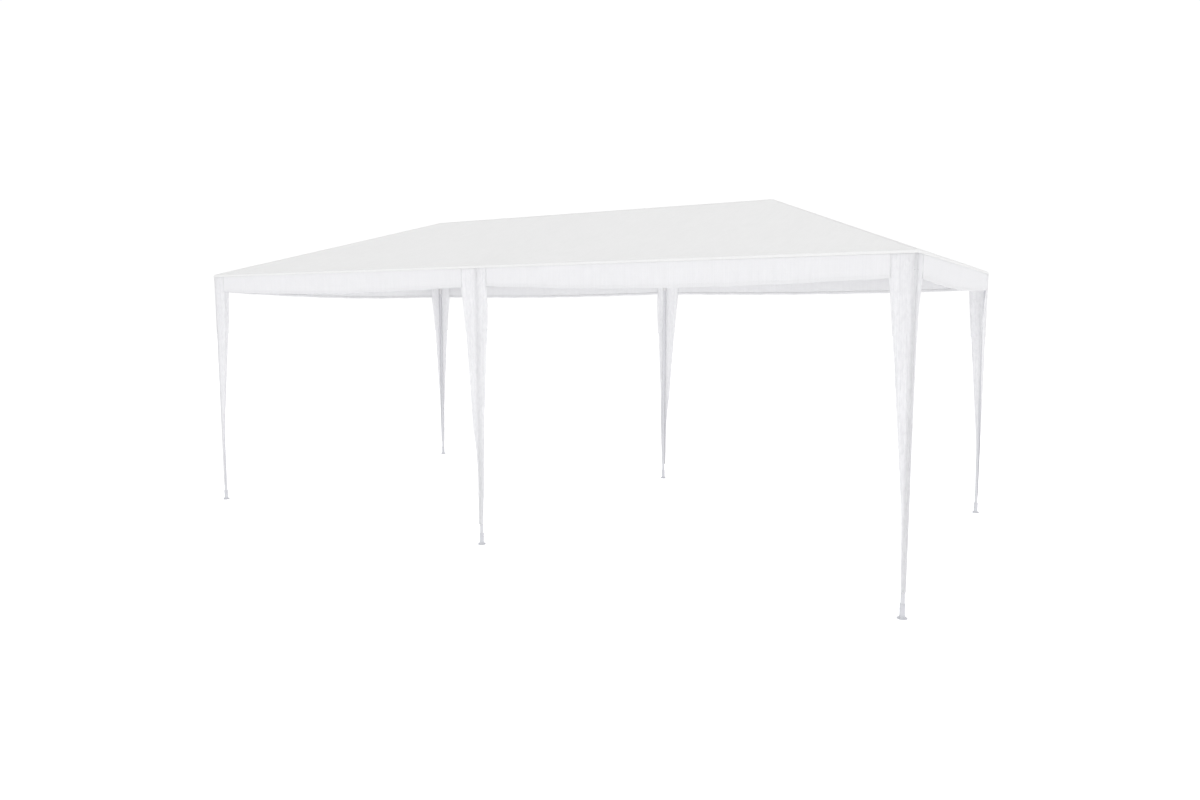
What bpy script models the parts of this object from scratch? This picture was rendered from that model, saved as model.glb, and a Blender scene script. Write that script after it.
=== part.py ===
"""A 6 x 3 m marquee tent: a frame of round steel tubes pushed into moulded connectors,
under a hipped sheet roof with a hanging valance and a tapering fabric cover on each leg.

Metres, +Z up. The origin is on the ground under the centre of the roof, +X runs along the
ridge and the front faces -Y.
"""

import math

import bmesh
import bpy
from mathutils import Matrix, Vector

# Driving dimensions of the whole tent, measured over the fabric.
LENGTH = 6.0
WIDTH = 3.0
RIDGE_HEIGHT = 2.55
EAVE_HEIGHT = 2.03
RIDGE_HALF_LENGTH = 1.65

# The frame's tubes and the connectors that they push into.
TUBE_RADIUS = 0.0125
SOCKET_RADIUS = 0.0155
HUB_RADIUS = 0.018
SOCKET_REACH = 0.095
SOCKET_SEAT = 0.042
FIT = 0.0003
ROUND_SIDES = 20

# The feet.
FOOT_RADIUS = 0.030
FOOT_PLATE = 0.005
FOOT_SLEEVE_HEIGHT = 0.085
FOOT_FILLET = 0.003
FOOT_EDGE = 0.001

# The fabric. The solids are thicker than the real sheet, so that they can be handled.
SHEET = 0.003
VALANCE_AT_LEGS = 0.145
VALANCE_SAG = 0.034
VALANCE_STEPS = 10

# Leg covers. Each has two wings, whose reach is given at the valance's hem, at the knee
# where the taper ends, and at the bottom. A corner's wings are measured from the fold on the
# outer corner, and a middle leg's from the leg's axis.
COVER_BOTTOM = 0.15
COVER_KNEE = 0.60
CORNER_WINGS = {"hem": (0.150, 0.150), "knee": (0.039, 0.039), "bottom": (0.026, 0.026)}
MID_WINGS = {"hem": (0.145, 0.090), "knee": (0.036, 0.030), "bottom": (0.022, 0.020)}
MID_WING_TURN = math.radians(35)
BEND_DROP = 0.12

# Plan position of the frame's axes: the fabric lies just outside the connectors' hubs.
SKIN = HUB_RADIUS + FIT + SHEET
AXIS_X = LENGTH / 2 - SKIN
AXIS_Y = WIDTH / 2 - SKIN

SIDES = {"front": -1, "back": 1}
STATIONS = {"left": -1, "mid": 0, "right": 1}


def roof_slopes():
    """The rise of the roof for each metre inwards: over the long sides and over the ends."""
    rise = RIDGE_HEIGHT - EAVE_HEIGHT
    return rise / (WIDTH / 2), rise / (LENGTH / 2 - RIDGE_HALF_LENGTH)


LONG_SLOPE, END_SLOPE = roof_slopes()
# A plane that lies SKIN below the fabric's outer face passes through the tubes' axes.
SKIN_DROP = SKIN * math.sqrt(1 + LONG_SLOPE**2)
RIDGE_AXIS_Z = RIDGE_HEIGHT - SKIN_DROP
EAVE_AXIS_Z = RIDGE_AXIS_Z - LONG_SLOPE * AXIS_Y
RIDGE_AXIS_X = AXIS_X - (RIDGE_AXIS_Z - EAVE_AXIS_Z) / END_SLOPE


def clear_scene():
    for old in list(bpy.data.objects):
        bpy.data.objects.remove(old, do_unlink=True)


def make_collection(name, shown=True):
    """A collection in the scene. Its contents are left out of a render if it isn't shown."""
    collection = bpy.data.collections.new(name)
    collection.hide_render = not shown
    bpy.context.scene.collection.children.link(collection)
    return collection


def make_material(name, colour, roughness, metallic=0.0):
    material = bpy.data.materials.new(name)
    material.use_nodes = True
    shader = material.node_tree.nodes["Principled BSDF"]
    shader.inputs["Base Color"].default_value = (*colour, 1.0)
    shader.inputs["Roughness"].default_value = roughness
    shader.inputs["Metallic"].default_value = metallic
    return material


def add_object(name, mesh, material, collection):
    made = bpy.data.objects.new(name, mesh)
    if material is not None:
        mesh.materials.append(material)
    collection.objects.link(made)
    return made


def smooth(mesh):
    mesh.shade_smooth()
    mesh.set_sharp_from_angle(angle=math.radians(40))


def rod_between(name, start, end, radius, material, collection):
    """A round bar from one point to another, with its origin at its middle."""
    start, end = Vector(start), Vector(end)
    form = bmesh.new()
    bmesh.ops.create_cone(
        form,
        cap_ends=True,
        segments=ROUND_SIDES,
        radius1=radius,
        radius2=radius,
        depth=(end - start).length,
    )
    mesh = bpy.data.meshes.new(name)
    form.to_mesh(mesh)
    form.free()
    smooth(mesh)
    rod = add_object(name, mesh, material, collection)
    rod.rotation_mode = "QUATERNION"
    rod.rotation_quaternion = (end - start).to_track_quat("Z", "Y")
    rod.location = (start + end) / 2
    return rod


def hub_ball(name, centre, collection, material):
    form = bmesh.new()
    bmesh.ops.create_uvsphere(
        form, u_segments=ROUND_SIDES, v_segments=ROUND_SIDES // 2, radius=HUB_RADIUS
    )
    mesh = bpy.data.meshes.new(name)
    form.to_mesh(mesh)
    form.free()
    ball = add_object(name, mesh, material, collection)
    ball.location = centre
    return ball


def add_boolean(target, other, operation):
    modifier = target.modifiers.new(operation.title(), "BOOLEAN")
    modifier.operation = operation
    modifier.object = other
    return modifier


def connector(name, centre, ends, tools):
    """A moulded connector: a ball with one socket towards each of the points in ends."""
    centre = Vector(centre)
    body = hub_ball(name, centre, tools["tent"], tools["plastic"])
    directions = [(Vector(end) - centre).normalized() for end in ends]
    for i, direction in enumerate(directions):
        arm = rod_between(
            f"{name}_arm_{i}",
            centre,
            centre + direction * SOCKET_REACH,
            SOCKET_RADIUS,
            None,
            tools["helpers"],
        )
        add_boolean(body, arm, "UNION")
    for i, direction in enumerate(directions):
        bore = rod_between(
            f"{name}_bore_{i}",
            centre + direction * SOCKET_SEAT,
            centre + direction * (SOCKET_REACH + 0.02),
            TUBE_RADIUS + FIT,
            None,
            tools["helpers"],
        )
        add_boolean(body, bore, "DIFFERENCE")
    return body


def tube(name, start, end, tools):
    """A tube between two connectors' centres, seated in a socket of each."""
    start, end = Vector(start), Vector(end)
    inset = (end - start).normalized() * (SOCKET_SEAT + FIT)
    return rod_between(
        name, start + inset, end - inset, TUBE_RADIUS, tools["steel"], tools["tent"]
    )


def foot(name, x, y, tools):
    """A turned foot: a round plate with a sleeve that the leg stands in."""
    bore = TUBE_RADIUS + FIT
    outline = [
        (0.0, FOOT_PLATE),
        (bore, FOOT_PLATE),
        (bore, FOOT_SLEEVE_HEIGHT),
        (SOCKET_RADIUS, FOOT_SLEEVE_HEIGHT),
        (SOCKET_RADIUS, FOOT_PLATE + FOOT_FILLET),
        (SOCKET_RADIUS + FOOT_FILLET, FOOT_PLATE),
        (FOOT_RADIUS - FOOT_EDGE, FOOT_PLATE),
        (FOOT_RADIUS, FOOT_PLATE - FOOT_EDGE),
        (FOOT_RADIUS, 0.0),
        (0.0, 0.0),
    ]
    mesh = bpy.data.meshes.new(name)
    points = [(radius, 0.0, z) for radius, z in outline]
    mesh.from_pydata(points, [(i, i + 1) for i in range(len(points) - 1)], [])
    made = add_object(name, mesh, tools["plastic"], tools["tent"])
    made.location = (x, y, 0.0)
    turned = made.modifiers.new("Turned", "SCREW")
    turned.angle = 2 * math.pi
    turned.steps = 2 * ROUND_SIDES
    turned.render_steps = turned.steps
    turned.use_merge_vertices = True
    turned.merge_threshold = 0.00001
    turned.use_smooth_shade = False
    return made


def roof_height(x, y):
    """Height of the roof's outer face over a point of the plan."""
    over_long_side = EAVE_HEIGHT + LONG_SLOPE * (WIDTH / 2 - abs(y))
    over_end = EAVE_HEIGHT + END_SLOPE * (LENGTH / 2 - abs(x))
    return min(over_long_side, over_end)


def roof_panel(name, outline, slope, tools):
    """One flat panel of the roof over a plan outline, pulled in by a seam's gap."""
    middle = sum((Vector(p) for p in outline), Vector((0.0, 0.0))) / len(outline)
    drop = SHEET * math.sqrt(1 + slope**2)
    form = bmesh.new()
    corners = []
    for x, y in outline:
        height = roof_height(x, y)
        shift = (middle - Vector((x, y))).normalized() * FIT * 2
        corners.append(form.verts.new((x + shift.x, y + shift.y, height)))
    top = form.faces.new(corners)
    lower = bmesh.ops.extrude_face_region(form, geom=[top])
    sunk = [v for v in lower["geom"] if isinstance(v, bmesh.types.BMVert)]
    bmesh.ops.translate(form, verts=sunk, vec=(0.0, 0.0, -drop))
    bmesh.ops.recalc_face_normals(form, faces=form.faces)
    mesh = bpy.data.meshes.new(name)
    form.to_mesh(mesh)
    form.free()
    return add_object(name, mesh, tools["fabric"], tools["tent"])


def roof(tools):
    """Two trapezoid panels over the long sides and two triangles over the ends."""
    x, y, ridge = LENGTH / 2, WIDTH / 2, RIDGE_HALF_LENGTH
    for side, sign in SIDES.items():
        outline = [(-x, sign * y), (x, sign * y), (ridge, 0.0), (-ridge, 0.0)]
        roof_panel(f"roof_panel_{side}", outline, LONG_SLOPE, tools)
    for end in ("left", "right"):
        sign = STATIONS[end]
        outline = [(sign * x, -y), (sign * x, y), (sign * ridge, 0.0)]
        roof_panel(f"roof_panel_{end}", outline, END_SLOPE, tools)


def hem_drop(along, span):
    """How far below the eave the valance's hem hangs, part-way along one bay of the frame."""
    return VALANCE_AT_LEGS + VALANCE_SAG * math.sin(math.pi * along / span)


SHEET_TOP = EAVE_HEIGHT - SHEET * math.sqrt(1 + END_SLOPE**2) - FIT


def valance(name, bay_start, bay_end, first, last, tools):
    """A strip hanging in one bay. bay_start and bay_end are points of the wall's plan at the
    legs, and the strip runs from first to last metres along the bay."""
    start, end = Vector(bay_start), Vector(bay_end)
    along = (end - start).normalized()
    span = (end - start).length
    curve = bpy.data.curves.new(name, "CURVE")
    curve.dimensions = "2D"
    curve.fill_mode = "BOTH"
    curve.extrude = SHEET / 2
    stops = [first + (last - first) * i / VALANCE_STEPS for i in range(VALANCE_STEPS + 1)]
    hem = [(stop, EAVE_HEIGHT - hem_drop(stop, span)) for stop in stops]
    points = hem + [(last, SHEET_TOP), (first, SHEET_TOP)]
    spline = curve.splines.new("POLY")
    spline.points.add(len(points) - 1)
    spline.use_cyclic_u = True
    for point, (u, z) in zip(spline.points, points):
        point.co = (u, z, 0.0, 1.0)
    inward = Vector((-along.y, along.x))
    origin = start + inward * (SHEET / 2)
    made = bpy.data.objects.new(name, curve)
    curve.materials.append(tools["fabric"])
    tools["tent"].objects.link(made)
    made.matrix_world = Matrix(
        (
            (along.x, 0.0, -inward.x, origin.x),
            (along.y, 0.0, -inward.y, origin.y),
            (0.0, 1.0, 0.0, 0.0),
            (0.0, 0.0, 0.0, 1.0),
        )
    )
    return made


def sheet_from_rows(name, rows, tools):
    """A folded sheet: a grid of points, given thickness on its inner side."""
    width = len(rows[0])
    points = [point for row in rows for point in row]
    faces = []
    for i in range(len(rows) - 1):
        for j in range(width - 1):
            low = i * width + j
            faces.append((low, low + 1, low + 1 + width, low + width))
    mesh = bpy.data.meshes.new(name)
    mesh.from_pydata(points, [], faces)
    made = add_object(name, mesh, tools["fabric"], tools["tent"])
    solid = made.modifiers.new("Thickness", "SOLIDIFY")
    solid.thickness = SHEET
    solid.offset = -1.0
    solid.use_even_offset = True
    return made


def between(low, high, share):
    return low + (high - low) * share


HEM = EAVE_HEIGHT - VALANCE_AT_LEGS


def cover_rows(wings):
    """Heights of a cover's rows with the reach of its two wings there, from the top down."""
    rows = [(SHEET_TOP, *wings["hem"])]
    for share in (0.0, 0.2, 0.6, 1.0):
        reach = [between(hem, knee, share) for hem, knee in zip(wings["hem"], wings["knee"])]
        rows.append((between(HEM, COVER_KNEE, share), *reach))
    rows.append((COVER_BOTTOM, *wings["bottom"]))
    return rows


def stand_off(z):
    """Distance from a leg's axis out to the cover's outer face. Over the valance the cover
    lies in the wall, and below it draws in towards the tube."""
    snug = TUBE_RADIUS + FIT + SHEET
    return between(snug, SKIN, min(1.0, (z - COVER_BOTTOM) / (HEM - COVER_BOTTOM)))


def corner_cover(name, end, side, tools):
    """A cover folded round a corner leg, with a wing along the long side and one along the end."""
    rows = []
    for z, long_wing, end_wing in cover_rows(CORNER_WINGS):
        x = end * (AXIS_X + stand_off(z))
        y = side * (AXIS_Y + stand_off(z))
        row = [(x - end * long_wing, y, z), (x, y, z), (x, y - side * end_wing, z)]
        rows.append(row)
    # The rows run the other way round on two of the corners, so that faces point outwards.
    if end * side > 0:
        rows = [row[::-1] for row in rows]
    return sheet_from_rows(name, rows, tools)


def mid_cover(name, side, tools):
    """A cover on a middle leg. Its long wing lies in the wall and its short wing turns in."""
    rows = []
    for z, long_wing, short_wing in cover_rows(MID_WINGS):
        bend = min(1.0, max(0.0, (HEM - z) / BEND_DROP)) * MID_WING_TURN
        y = side * (AXIS_Y + stand_off(z))
        # Below the hem both wings start from a narrow band over the tube.
        fold = TUBE_RADIUS
        long_end = (side * long_wing, y, z)
        short_reach = short_wing - fold
        short_end = (
            -side * (fold + short_reach * math.cos(bend)),
            y - side * short_reach * math.sin(bend),
            z,
        )
        rows.append([long_end, (-side * fold, y, z), short_end])
    return sheet_from_rows(name, rows, tools)


def frame_points():
    """Centres of the connectors: the eave's six, the ridge's two ends and its middle."""
    eave = {
        (station, side): Vector((x * AXIS_X, y * AXIS_Y, EAVE_AXIS_Z))
        for station, x in STATIONS.items()
        for side, y in SIDES.items()
    }
    ridge = {
        station: Vector((x * RIDGE_AXIS_X, 0.0, RIDGE_AXIS_Z))
        for station, x in STATIONS.items()
    }
    return eave, ridge


def legs_and_feet(eave, tools):
    for (station, side), top in eave.items():
        place = f"{side}_{station}"
        foot(f"foot_{place}", top.x, top.y, tools)
        rod_between(
            f"leg_{place}",
            (top.x, top.y, FOOT_PLATE + FIT),
            top - Vector((0.0, 0.0, SOCKET_SEAT + FIT)),
            TUBE_RADIUS,
            tools["steel"],
            tools["tent"],
        )


def connectors(eave, ridge, tools):
    down = Vector((0.0, 0.0, -1.0))
    other_side = {"front": "back", "back": "front"}
    for (station, side), centre in eave.items():
        ends = [centre + down, ridge[station]]
        if station == "mid":
            ends += [eave["left", side], eave["right", side]]
            connector(f"mid_connector_{side}", centre, ends, tools)
        else:
            ends += [eave["mid", side], eave[station, other_side[side]]]
            connector(f"corner_connector_{side}_{station}", centre, ends, tools)
    for station, centre in ridge.items():
        ends = [eave[station, "front"], eave[station, "back"]]
        if station == "mid":
            ends += [ridge["left"], ridge["right"]]
            connector("ridge_mid_connector", centre, ends, tools)
        else:
            ends += [ridge["mid"]]
            connector(f"ridge_end_connector_{station}", centre, ends, tools)


def tubes(eave, ridge, tools):
    for side in SIDES:
        for station in ("left", "right"):
            tube(f"eave_tube_{side}_{station}", eave[station, side], eave["mid", side], tools)
            tube(f"hip_rafter_{side}_{station}", eave[station, side], ridge[station], tools)
        tube(f"mid_rafter_{side}", eave["mid", side], ridge["mid"], tools)
    for station in ("left", "right"):
        tube(f"eave_tube_{station}", eave[station, "front"], eave[station, "back"], tools)
        tube(f"ridge_tube_{station}", ridge[station], ridge["mid"], tools)


def hanging_fabric(tools):
    """The valance of each bay and the cover of each leg."""
    x, y = LENGTH / 2, WIDTH / 2
    corner_end = CORNER_WINGS["hem"][0] + FIT
    long_end, short_end = (wing + FIT for wing in MID_WINGS["hem"])
    # Going round the tent anticlockwise, seen from above. The long wing of a mid cover points
    # left on the front and right on the back.
    bays = {
        "valance_front_left": ((-x, -y), (0.0, -y), corner_end, x - long_end),
        "valance_front_right": ((0.0, -y), (x, -y), short_end, x - corner_end),
        "valance_right": ((x, -y), (x, y), corner_end, 2 * y - corner_end),
        "valance_back_right": ((x, y), (0.0, y), corner_end, x - long_end),
        "valance_back_left": ((0.0, y), (-x, y), short_end, x - corner_end),
        "valance_left": ((-x, y), (-x, -y), corner_end, 2 * y - corner_end),
    }
    for name, (start, end, first, last) in bays.items():
        valance(name, start, end, first, last, tools)
    for side, side_sign in SIDES.items():
        for end in ("left", "right"):
            corner_cover(f"leg_cover_{side}_{end}", STATIONS[end], side_sign, tools)
        mid_cover(f"leg_cover_{side}_mid", side_sign, tools)


def build():
    clear_scene()
    tools = {
        "tent": make_collection("marquee_tent"),
        "helpers": make_collection("helpers", shown=False),
        "steel": make_material("white_powder_coated_steel", (0.80, 0.80, 0.81), 0.40),
        "plastic": make_material("white_plastic", (0.78, 0.78, 0.79), 0.50),
        "fabric": make_material("white_pe_sheet", (0.86, 0.86, 0.87), 0.60),
    }
    eave, ridge = frame_points()
    legs_and_feet(eave, tools)
    connectors(eave, ridge, tools)
    tubes(eave, ridge, tools)
    roof(tools)
    hanging_fabric(tools)
    for helper in tools["helpers"].objects:
        helper.hide_render = True
        helper.display_type = "WIRE"


build()
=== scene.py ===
# %% [markdown]
# # A 6 x 3 m marquee tent
# This file dresses a frame that was made in another script. The frame holds every piece at its
# real size and place, and here each piece gets the form and the finish that the eye sees: a sheet
# that sags between its tubes, hems, stitches, creased leg covers, moulded sockets and powder coat.
# One could model the tent by hand in edit mode. Here every surface is a formula on a grid of two
# numbers instead, so each wrinkle has a reason and a size, and can be changed in one place.

# %% Load the frame
import math

import bmesh
import bpy
import numpy as np
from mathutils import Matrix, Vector


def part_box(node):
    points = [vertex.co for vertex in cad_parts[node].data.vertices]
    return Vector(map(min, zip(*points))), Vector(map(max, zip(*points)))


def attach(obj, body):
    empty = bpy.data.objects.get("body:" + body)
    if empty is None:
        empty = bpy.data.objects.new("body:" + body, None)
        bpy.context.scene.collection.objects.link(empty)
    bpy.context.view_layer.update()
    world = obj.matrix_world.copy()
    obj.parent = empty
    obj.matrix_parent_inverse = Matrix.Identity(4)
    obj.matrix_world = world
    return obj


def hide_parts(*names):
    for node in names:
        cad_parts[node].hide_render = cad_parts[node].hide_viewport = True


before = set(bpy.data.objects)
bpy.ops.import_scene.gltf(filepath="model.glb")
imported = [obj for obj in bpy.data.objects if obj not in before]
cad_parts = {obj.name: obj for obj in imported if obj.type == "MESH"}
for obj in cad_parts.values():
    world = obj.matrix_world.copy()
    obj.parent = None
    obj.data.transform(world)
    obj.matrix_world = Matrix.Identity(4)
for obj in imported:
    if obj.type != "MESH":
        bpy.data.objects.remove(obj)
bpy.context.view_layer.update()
print("frame:", len(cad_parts), "nodes")

# %% [markdown]
# ## The sizes that everything hangs on
# A tent is a set of straight tubes, and its fabric follows them. So the places of the tubes' axes
# are read from the frame, and only the fabric's own sizes are stated here. Reading them is better
# than typing them again: the looks then fit the frame, whatever it becomes.

# %% Read the frame's axes
def middle(node):
    """Centre of a node's box, as an array."""
    low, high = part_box(node)
    return (np.array(low) + np.array(high)) / 2


EAVE_TOP = 2.03          # outer face of the sheet at the eave, in metres above the ground
RIDGE_TOP = 2.55         # and at the ridge
RIDGE_REACH = 1.65       # from the middle of the roof to an end of its ridge
SEAT = 0.0423            # from a connector's centre to the end of a tube in it

ROOF_X = float(np.round(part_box("valance_right")[1][0], 4))
ROOF_Y = float(np.round(-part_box("valance_front_left")[0][1], 4))
LEG_X, LEG_Y = (float(v) for v in middle("leg_back_right")[:2])
TUBE_R = float(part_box("leg_back_right")[1][0]) - LEG_X
EAVE_Z = float(middle("eave_tube_front_left")[2])
RIDGE_Z = float(middle("ridge_tube_left")[2])
RIDGE_X = float(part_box("ridge_tube_right")[1][0]) + SEAT
SIDES = {"front": -1, "back": 1}
STATIONS = {"left": -1, "mid": 0, "right": 1}
print(f"roof {2 * ROOF_X:.3f} x {2 * ROOF_Y:.3f} m, leg axes at {LEG_X:.4f}, {LEG_Y:.4f}, tube radius {TUBE_R:.4f}")

# %% [markdown]
# ## From numbers to a mesh
# Every new piece starts as a grid of points: a row for each step of one parameter, a column for
# each step of the other. Blender can make faces from such a grid in several ways. Index arithmetic
# on whole arrays is the fastest, because no Python loop touches a point.

# %% Grid to mesh
def grid_faces(rows, columns, closed=False, flip=False):
    """Corner numbers of a grid's faces. Point (i, j) has number i * columns + j, and a face joins
    it to its right, upper right and upper neighbours. closed joins the last column to the first."""
    i, j = np.meshgrid(np.arange(rows - 1), np.arange(columns - (not closed)), indexing="ij")
    right = (j + 1) % columns
    quads = np.stack([i * columns + j, i * columns + right, (i + 1) * columns + right, (i + 1) * columns + j], -1)
    quads = quads.reshape(-1, 4)
    return quads[:, ::-1] if flip else quads


def mesh_piece(name, points, faces, material, uv=None, smooth=True):
    """Makes an object from arrays: points (n, 3), faces (m, 4) and uv, one pair for each corner of
    each face. The object stays at the origin, so its place is in its mesh."""
    mesh = bpy.data.meshes.new(name)
    mesh.vertices.add(len(points))
    mesh.vertices.foreach_set("co", np.ascontiguousarray(points, dtype=np.float32).ravel())
    mesh.loops.add(faces.size)
    mesh.loops.foreach_set("vertex_index", np.ascontiguousarray(faces, dtype=np.int32).ravel())
    mesh.polygons.add(len(faces))
    width = faces.shape[1]
    mesh.polygons.foreach_set("loop_start", np.arange(len(faces), dtype=np.int32) * width)
    mesh.polygons.foreach_set("use_smooth", np.full(len(faces), smooth))
    if uv is not None:
        layer = mesh.uv_layers.new(name="cloth")
        layer.data.foreach_set("uv", np.ascontiguousarray(uv, dtype=np.float32).ravel())
    mesh.update(calc_edges=True)
    mesh.validate()
    mesh.materials.append(material)
    made = bpy.data.objects.new(name, mesh)
    bpy.context.scene.collection.objects.link(made)
    return made


def give_thickness(piece, thickness):
    """A sheet's thickness, grown inwards from the surface that was worked out."""
    solid = piece.modifiers.new("Sheet thickness", "SOLIDIFY")
    solid.thickness = thickness
    solid.offset = -1.0
    return piece


def settle(piece, slot, *nodes):
    """Every piece rides on the tent and may stand for CAD nodes. slot is not used."""
    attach(piece, "root")
    if nodes:
        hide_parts(*nodes)
    return piece


# %% [markdown]
# ## Adding shader nodes
# A material in Blender is a tree of nodes. Each one is made, set and linked in the same way, so
# one small function does it for all of them. Colours are written as the hex values that a paint
# shop or a colour picker shows, and one function turns them to the linear light that Cycles uses.

# %% Node and colour helpers
def linear(hex_colour):
    """sRGB hex to linear RGBA: each channel c becomes c / 12.92 below 0.04045, and otherwise
    ((c + 0.055) / 1.055) to the power 2.4."""
    c = np.array([int(hex_colour[i : i + 2], 16) for i in (1, 3, 5)]) / 255
    rgb = np.where(c <= 0.04045, c / 12.92, ((c + 0.055) / 1.055) ** 2.4)
    return (*(float(v) for v in rgb), 1.0)


def add_node(tree, kind, inputs=None, **settings):
    """Adds one node. settings are its own fields, and inputs gives each of its sockets, by name or
    number, a value or the socket of another node that feeds it."""
    made = tree.nodes.new(kind)
    for field, value in settings.items():
        setattr(made, field, value)
    for name, value in (inputs or {}).items():
        if isinstance(value, bpy.types.NodeSocket):
            tree.links.new(value, made.inputs[name])
        else:
            made.inputs[name].default_value = value
    return made


def new_material(name):
    """An empty material, with its tree."""
    material = bpy.data.materials.new(name)
    material.use_nodes = True
    material.node_tree.nodes.clear()
    return material, material.node_tree


# %% [markdown]
# ## Woven polyethylene sheet
# The roof of such a tent is tarpaulin: flat tapes of polyethylene, about 2.5 mm wide, woven over
# and under each other and coated with a thin clear film. The eye gets four things from that. The
# film gives a soft plastic shine. Tapes are never equally thick, so long faint streaks run both
# ways. Light passes through, so the underside glows. And a sheet that came folded keeps creases.
# A photograph of cloth could be wrapped round it, but procedural nodes stay sharp at any distance.
# The streaks are drawn 7 mm wide, because single tapes are too fine to show from across a lawn.

# %% Sheet material
TAPE = 0.0025            # width of a woven tape
STREAK = 0.007           # width of the streaks that stand for many tapes
STREAK_LENGTH = 0.45
PACK_FOLD = 0.58         # distance between the folds that packing left
TAU = 2 * math.pi


def long_noise(tree, uv, across, along, detail=2.0, distortion=0.0):
    """Noise drawn out into threads or creases: across and along are one streak's width and length."""
    stretched = add_node(tree, "ShaderNodeMapping", {"Vector": uv, "Scale": (1 / across, 1 / along, 1.0)})
    noise = add_node(tree, "ShaderNodeTexNoise", {
        "Vector": stretched.outputs["Vector"], "Scale": 1.0, "Detail": detail, "Distortion": distortion,
    })
    return noise.outputs["Fac"]


def weave_height(tree, uv):
    """The weave itself: a wave across for the warp tapes times one along for the weft."""
    axes = add_node(tree, "ShaderNodeSeparateXYZ", {0: uv})
    waves = []
    for axis in (0, 1):
        turn = add_node(tree, "ShaderNodeMath", {0: axes.outputs[axis], 1: TAU / (2 * TAPE)}, operation="MULTIPLY")
        waves.append(add_node(tree, "ShaderNodeMath", {0: turn.outputs[0]}, operation="SINE").outputs[0])
    return add_node(tree, "ShaderNodeMath", {0: waves[0], 1: waves[1]}, operation="MULTIPLY").outputs[0]


def fold_height(tree, uv):
    """Pack folds: the distance to the nearest fold line, turned into a narrow ridge."""
    axes = add_node(tree, "ShaderNodeSeparateXYZ", {0: uv})
    folds = []
    for axis in (0, 1):
        to_fold = add_node(tree, "ShaderNodeMath", {0: axes.outputs[axis], 1: PACK_FOLD / 2}, operation="PINGPONG")
        ridge = add_node(tree, "ShaderNodeMapRange", {0: to_fold.outputs[0], 1: 0.0, 2: 0.012, 3: 1.0, 4: 0.0},
                         interpolation_type="SMOOTHSTEP")
        folds.append(ridge.outputs[0])
    return add_node(tree, "ShaderNodeMath", {0: folds[0], 1: folds[1]}, operation="MAXIMUM").outputs[0]


def sheet_material(name, light, dark, through, weft, size, mottle, streak, crumple, fold):
    """Woven tarpaulin. light and dark are its tones, and through is the share of the light that
    shines through it. weft is how strong its cross streaks are beside the long ones, size is the
    width of a crumple, and mottle is the share in the tone of painted light and shade that follow
    the crumples: their raised parts are painted lighter and their dents darker. streak, crumple and
    fold are the strengths of the relief."""
    material, tree = new_material(name)
    uv = add_node(tree, "ShaderNodeUVMap", uv_map="cloth").outputs["UV"]
    warp_streaks = long_noise(tree, uv, STREAK, STREAK_LENGTH)
    weft_streaks = long_noise(tree, uv, STREAK_LENGTH, STREAK)
    both = add_node(tree, "ShaderNodeMath", {0: weft_streaks, 1: weft, 2: warp_streaks}, operation="MULTIPLY_ADD")
    even = add_node(tree, "ShaderNodeMapRange", {
        0: both.outputs[0], 1: 0.36 * (1 + weft), 2: 0.64 * (1 + weft),
    }).outputs[0]
    cloud = add_node(tree, "ShaderNodeTexNoise", {"Vector": uv, "Scale": 2.2, "Detail": 3.0}).outputs["Fac"]
    creased = add_node(tree, "ShaderNodeMapRange", {
        0: long_noise(tree, uv, size, size * 2.4, 4.0, 0.7), 1: 0.32, 2: 0.68,
    }).outputs[0]

    tone = add_node(tree, "ShaderNodeMath", {0: even, 1: 0.70 - mottle}, operation="MULTIPLY").outputs[0]
    tone = add_node(tree, "ShaderNodeMath", {0: cloud, 1: 0.30, 2: tone}, operation="MULTIPLY_ADD").outputs[0]
    # Painted light and shade on the crumples: the tone follows their relief, lighter where they rise and darker in
    # their dents.
    tone = add_node(tree, "ShaderNodeMath", {0: creased, 1: mottle, 2: tone}, operation="MULTIPLY_ADD").outputs[0]
    paint = add_node(tree, "ShaderNodeMix", {"Factor": tone, "A": linear(dark), "B": linear(light)},
                     data_type="RGBA").outputs["Result"]

    normal = add_node(tree, "ShaderNodeBump", {"Height": weave_height(tree, uv), "Strength": 0.12, "Distance": 0.0002})
    for height, strength, distance in (
        (even, streak, 0.0010), (creased, crumple, 0.012), (fold_height(tree, uv), fold, 0.0015),
    ):
        normal = add_node(tree, "ShaderNodeBump", {
            "Height": height, "Strength": strength, "Distance": distance, "Normal": normal.outputs["Normal"],
        })
    rough = add_node(tree, "ShaderNodeMapRange", {0: even, 3: 0.38, 4: 0.52}).outputs[0]
    film = add_node(tree, "ShaderNodeBsdfPrincipled", {
        "Base Color": paint, "Roughness": rough, "IOR": 1.51, "Normal": normal.outputs["Normal"],
    })
    glow = add_node(tree, "ShaderNodeBsdfTranslucent", {"Color": paint, "Normal": normal.outputs["Normal"]})
    mixed = add_node(tree, "ShaderNodeMixShader", {0: through, 1: film.outputs[0], 2: glow.outputs[0]})
    add_node(tree, "ShaderNodeOutputMaterial", {"Surface": mixed.outputs[0]})
    return material


roof_sheet = sheet_material("woven_pe_tarpaulin_roof", "#EFEFEF", "#E8E8E8", 0.14, 0.8, 0.050, 0.25, 0.20, 0.06, 0.30)
valance_sheet = sheet_material("woven_pe_tarpaulin_valance", "#ECECEE", "#E5E5E7", 0.20, 0.4, 0.050, 0.25, 0.22, 0.11, 0.20)
cover_sheet = sheet_material("woven_pe_tarpaulin_creased", "#F8F8F9", "#E6E6E8", 0.50, 0.1, 0.016, 0.38, 0.20, 0.12, 0.10)
print("sheet materials:", roof_sheet.name, valance_sheet.name, cover_sheet.name)

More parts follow.
